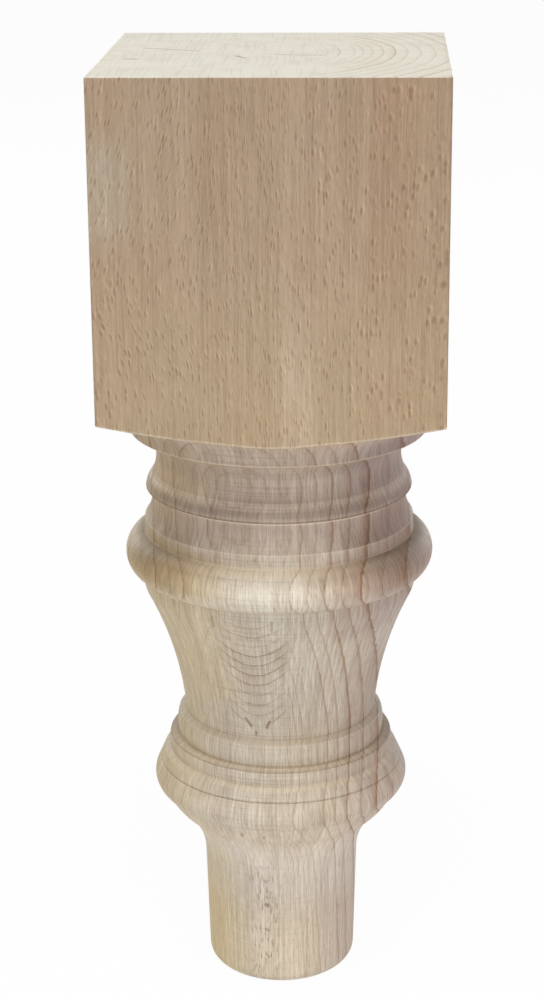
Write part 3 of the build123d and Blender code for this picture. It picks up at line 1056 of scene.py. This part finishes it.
def grain_tones(g, at, colour):
    """The colour with the tones of rings, fibres, flecks with their painted highlights, and tools laid on it,
    from the broad to the fine.
    """
    strength = ring_strength(g, at)
    late_colour = g.mix(1.0, colour, LATE_FACTOR, "MULTIPLY")
    colour = g.mix(g.times(at.late, strength), colour, g.mix(LATE_SHARE, colour, late_colour))
    colour = g.mix(g.times(at.line, strength), colour, g.mix(1.0, late_colour, RING_LINE_FACTOR, "MULTIPLY"))

    def toned(tone, noise, here):
        limits, depth = tone
        return g.shade(colour, g.times(g.within(noise, limits), here), depth)

    fibres_here = g.plus(g.times(at.planed, FIBRES_PLANED), g.times(at.turned, FIBRES_TURNED))
    colour = toned(STREAK_TONE, at.streak, at.side_grain)
    colour = toned(FIBRE_TONE, at.fibre, fibres_here)
    colour = toned(HAIR_TONE, at.hair, fibres_here)

    # Upright lines on the planed sides
    sway = g.times(g.noise(at.place, "upright"), UPRIGHT_SWAY)
    upright_late, upright_line = ring_tones(g, g.plus(g.times(g.plus(at.x, at.y), UPRIGHT_APART), sway))
    upright_here = g.times(at.planed, g.span(at.x, *UPRIGHT_X))
    colour = g.shade(colour, g.times(upright_late, upright_here), UPRIGHT_TONE)
    colour = g.lighten(g.times(upright_line, upright_here, UPRIGHT_LINE), colour, UPRIGHT_LINE_SCALE)

    colour = g.tint(at.flecks, colour, FLECK_FACTOR)
    colour = toned(SPECK_TONE, at.speck, at.side_grain)
    colour = toned(LATHE_TONE, at.lathe, at.lathe_here)
    torn_here = g.times(g.within(g.math("ABSOLUTE", at.off_arcs), TORN_REACH), at.turned,
                        g.span(at.z, *TORN_HEIGHTS))
    colour = toned(TORN_TONE, g.noise(at.place, "torn"), torn_here)
    # Painted highlight beside the flecks
    fleck_highlight_share = g.plus(g.times(at.planed, FLECK_HIGHLIGHT_MORE_PLANED), FLECK_HIGHLIGHT_STRENGTH)
    colour = g.lighten(g.times(at.pale_flecks, fleck_highlight_share), colour, FLECK_HIGHLIGHT_SCALE)
    crossing = g.noise(g.combine(at.from_x, at.y, 1.0), "crossing")
    return toned(CROSSING_TONE, crossing, g.times(at.top_cut, g.span(at.x, *CROSSING_X)))


def lines_round(g, z, lines):
    """The deepest of a few thin lines that run round the turning, each at its own height."""
    deepest = 0.0
    for height, half_width, depth in lines:
        away = g.math("ABSOLUTE", g.less(z, height))
        deepest = g.math("MAXIMUM", deepest, g.span(away, half_width, half_width * LINE_CORE, 0.0, depth))
    return deepest


def strokes(g, place, marks):
    """The deepest of a few single marks, each given as start, end, half width and depth."""
    deepest = 0.0
    for start, end, half_width, depth in marks:
        spot = g.stroke(place, start, end, half_width)
        deepest = g.math("MAXIMUM", deepest, g.times(spot, depth))
    return deepest


def single_marks(g, at, colour):
    """The colour with the painted crease shade and edge highlights round the turning, and the single marks on
    the turning and the top.
    """
    # Painted shade in the creases and painted highlights on the edges
    crease_shade = g.times(lines_round(g, at.z, CREASE_SHADE_LINES), at.turned)
    edge_highlight = g.times(lines_round(g, at.z, EDGE_HIGHLIGHT_LINES), at.turned)
    colour = g.tint(crease_shade, colour, CREASE_SHADE_FACTOR)
    colour = g.mix(edge_highlight, colour, EDGE_HIGHLIGHT_COLOUR)
    unrolled = g.combine(g.times(at.around, GRAIN_RADIUS), at.z, 0.0)
    laid_out = [((a * DEGREE_LENGTH, low), (b * DEGREE_LENGTH, high), half_width, depth)
                for (a, low), (b, high), half_width, depth in TURNED_MARKS]
    at.marks = g.times(strokes(g, unrolled, laid_out), at.turned)
    colour = g.mix(at.marks, colour, TURNED_MARK_COLOUR)
    at.scars = g.times(strokes(g, g.combine(at.x, at.y, 0.0), TOP_MARKS), at.top_cut)
    return g.mix(at.scars, colour, TOP_MARK_COLOUR)


def relief(g, at):
    """Surface normal with the grain and the marks sunk a little below the surface."""
    at.cutter = g.times(at.lathe, at.lathe_here)
    height = g.times(at.fibre, -FIBRE_DEPTH)
    for name, depth in SUNK.items():
        height = g.less(height, g.times(getattr(at, name), depth))
    bump = g.node("Bump")
    bump.inputs["Strength"].default_value = RELIEF_STRENGTH
    bump.inputs["Distance"].default_value = RELIEF_DEPTH
    g.feed(bump.inputs["Height"], height)
    return bump.outputs["Normal"]


def wood_material():
    """Solid beech: growth rings round a leaning pith, rays that run out from it, vessels along the grain, with
    painted light and shade laid into its colour.
    """
    material = bpy.data.materials.new("beech_solid")
    g = Graph(material)
    at = find_place(g)
    find_rings(g, at)
    find_flecks(g, at)
    find_fibres(g, at)
    colour = single_marks(g, at, grain_tones(g, at, ground_colour(g, at)))
    shader = g.node("BsdfPrincipled")
    g.feed(shader.inputs["Base Color"], colour)
    g.feed(shader.inputs["Roughness"], g.span(at.fibre, *ROUGHNESS))
    shader.inputs["Specular IOR Level"].default_value = SPECULAR
    g.feed(shader.inputs["Normal"], relief(g, at))
    out = g.node("OutputMaterial")
    g.feed(out.inputs["Surface"], shader.outputs[0])
    return material


# Camera, stage and lights, in metres

CLIP_START = 0.01
FLOOR_HALF = 3.0
FLOOR_WHITE = (0.86, 0.86, 0.86, 1.0)
FLOOR_GLOW = 0.97
PURE_WHITE = (1.0, 1.0, 1.0, 1.0)
WORLD_LEVEL = 0.04

# Lamps: name, place, size, power. All of them aim at one point
AIM = (0.0, 0.0, 0.11)
LAMPS = (
    ("lamp_above", (0.0, -0.45, 1.35), 0.5, 13.0),
    ("lamp_front", (0.0, -1.3, 0.12), 0.5, 1.0),
    ("lamp_left", (-0.95, -0.7, 0.30), 0.5, 2.4),
    ("lamp_right", (0.9, -0.7, 0.12), 0.5, 0.3),
    ("lamp_low", (0.05, -0.6, 0.04), 0.3, 1.0),
    ("lamp_near", (0.05, -0.22, 0.02), 0.12, 0.12),
    ("lamp_low_left", (-0.55, -0.35, 0.04), 0.3, 0.5),
    ("lamp_low_right", (0.28, -0.18, 0.02), 0.15, 0.34),
    ("lamp_back_left", (-0.8, 1.1, 0.45), 0.6, 7.0),
    ("lamp_back_right", (0.8, 1.1, 0.35), 0.6, 5.0),
)


def make_camera():
    data = bpy.data.cameras.new("camera")
    data.sensor_width = CAMERA_SENSOR
    data.lens = CAMERA_LENS
    data.clip_start = CLIP_START
    camera = add("camera", data)
    turn = Matrix.Rotation(-CAMERA_YAW, 4, "Z")
    tilt = Matrix.Rotation(math.pi / 2 - CAMERA_PITCH, 4, "X")
    roll = Matrix.Rotation(CAMERA_ROLL, 4, "Z")
    camera.matrix_world = Matrix.Translation(Vector(CAMERA_PLACE) * MM) @ turn @ tilt @ roll
    bpy.context.scene.camera = camera


def make_lamp(name, place, size, power):
    data = bpy.data.lights.new(name, "AREA")
    data.shape = "DISK"
    data.size = size
    data.energy = power
    lamp = add(name, data)
    lamp.location = place
    way = Vector(AIM) - Vector(place)
    lamp.rotation_euler = way.to_track_quat("-Z", "Y").to_euler()
    lamp.visible_camera = False


def seen_directly(g):
    """1 for rays from the camera or through a mirror or glass, 0 for the rest."""
    path = g.node("LightPath")
    seen = g.math("MAXIMUM", path.outputs["Is Camera Ray"], path.outputs["Is Glossy Ray"])
    return g.math("MAXIMUM", seen, path.outputs["Is Transmission Ray"])


def make_floor():
    """A plain white floor that keeps a faint shadow."""
    mesh = bpy.data.meshes.new("floor")
    half = FLOOR_HALF
    corners = [(-half, -half, 0.0), (half, -half, 0.0), (half, half, 0.0), (-half, half, 0.0)]
    mesh.from_pydata(corners, [], [(0, 1, 2, 3)])
    add("floor", mesh)
    material = bpy.data.materials.new("floor_white")
    g = Graph(material)
    plain = g.node("BsdfDiffuse")
    plain.inputs["Color"].default_value = FLOOR_WHITE
    glow = g.node("Emission")
    glow.inputs["Color"].default_value = PURE_WHITE
    blend = g.node("MixShader")
    g.feed(blend.inputs[0], g.times(seen_directly(g), FLOOR_GLOW))
    g.feed(blend.inputs[1], plain.outputs[0])
    g.feed(blend.inputs[2], glow.outputs[0])
    out = g.node("OutputMaterial")
    g.feed(out.inputs["Surface"], blend.outputs[0])
    mesh.materials.append(material)


def make_world():
    """A world that looks white, and that lights the leg only a little."""
    world = bpy.data.worlds.new("studio")
    bpy.context.scene.world = world
    g = Graph(world)
    back = g.node("Background")
    back.inputs["Color"].default_value = PURE_WHITE
    g.feed(back.inputs["Strength"], g.span(seen_directly(g), 0.0, 1.0, WORLD_LEVEL, 1.0, smooth=False))
    out = g.node("OutputWorld")
    g.feed(out.inputs["Surface"], back.outputs[0])


make_camera()
make_floor()
make_world()
for lamp_name, lamp_place, lamp_size, lamp_power in LAMPS:
    make_lamp(lamp_name, lamp_place, lamp_size, lamp_power)

leg = build_leg()
leg.data.materials.append(wood_material())
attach(leg, "root")
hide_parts("turned_leg")

bpy.context.scene.view_settings.view_transform = "Standard"
